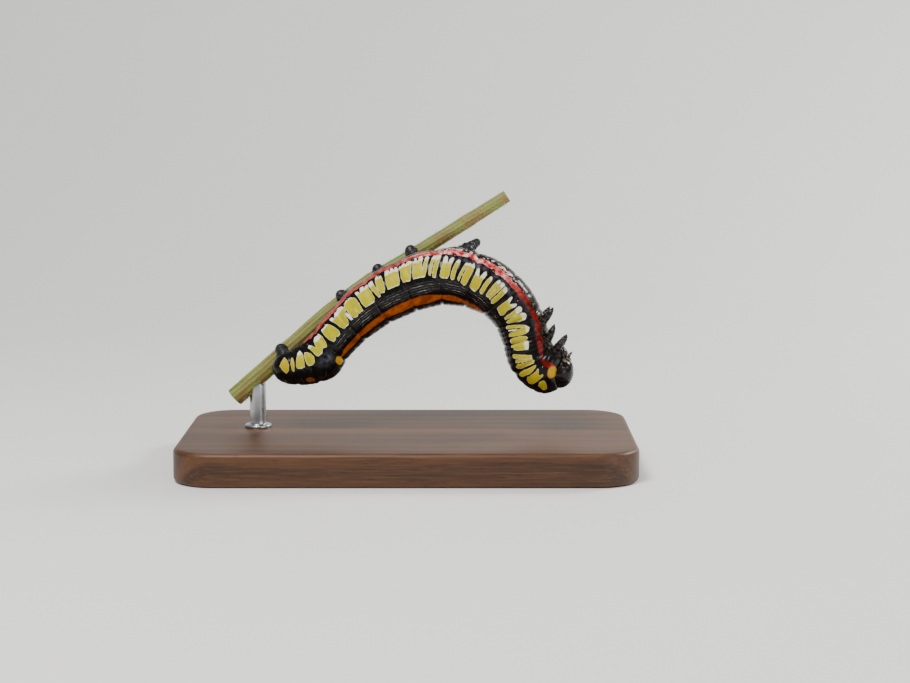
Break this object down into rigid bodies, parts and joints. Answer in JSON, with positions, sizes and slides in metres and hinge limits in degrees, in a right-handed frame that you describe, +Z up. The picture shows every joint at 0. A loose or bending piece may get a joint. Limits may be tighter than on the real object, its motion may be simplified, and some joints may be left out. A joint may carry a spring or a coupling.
{
  "type": "brown-hooded owlet larva",
  "caption": "Smooth, boldly striped larva arching off a cut plant stem that its tail end grips, held over a flat wooden base by one short rod.",
  "frame": {"origin": "centre of the underside of the stand's base", "axes": "+X from the tail's side to the head's side along the base's length, +Y away from the viewer of the left flank, +Z up"},
  "size_m": [0.054, 0.03, 0.0326],
  "materials": {
    "skin": "smooth moist skin, black with a yellow and white flank band, burnt-orange back stripe and red side stripe",
    "capsule": "glossy black hard skin of the head, its mouthparts and the jointed legs",
    "proleg": "soft, fleshy, satin black",
    "stalk": "fresh green plant stem, lengthwise ridges and short pale hairs",
    "base": "dark wood with a satin varnish and eased edges",
    "rod": "brushed along its length"
  },
  "bodies": {
    "root": {"abdomen_10": "skin", "abdomen_9": "skin", "abdomen_8": "skin", "abdomen_7": "skin", "abdomen_6": "skin", "abdomen_5": "skin", "abdomen_4": "skin", "abdomen_3": "skin", "abdomen_2": "skin", "abdomen_1": "skin", "thorax_3": "skin", "thorax_2": "skin", "thorax_1": "skin", "head": "capsule", "mandible_left": "capsule", "mandible_right": "capsule", "antenna_left": "capsule", "antenna_right": "capsule", "leg_1_left": "capsule", "leg_1_right": "capsule", "leg_2_left": "capsule", "leg_2_right": "capsule", "leg_3_left": "capsule", "leg_3_right": "capsule", "proleg_3_left": "proleg", "proleg_3_right": "proleg", "proleg_4_left": "proleg", "proleg_4_right": "proleg", "proleg_5_left": "proleg", "proleg_5_right": "proleg", "proleg_6_left": "proleg", "proleg_6_right": "proleg", "proleg_10_left": "proleg", "proleg_10_right": "proleg", "perch_stem": "stalk", "stand_base": "base", "stand_rod": "rod"}
  },
  "joints": []
}
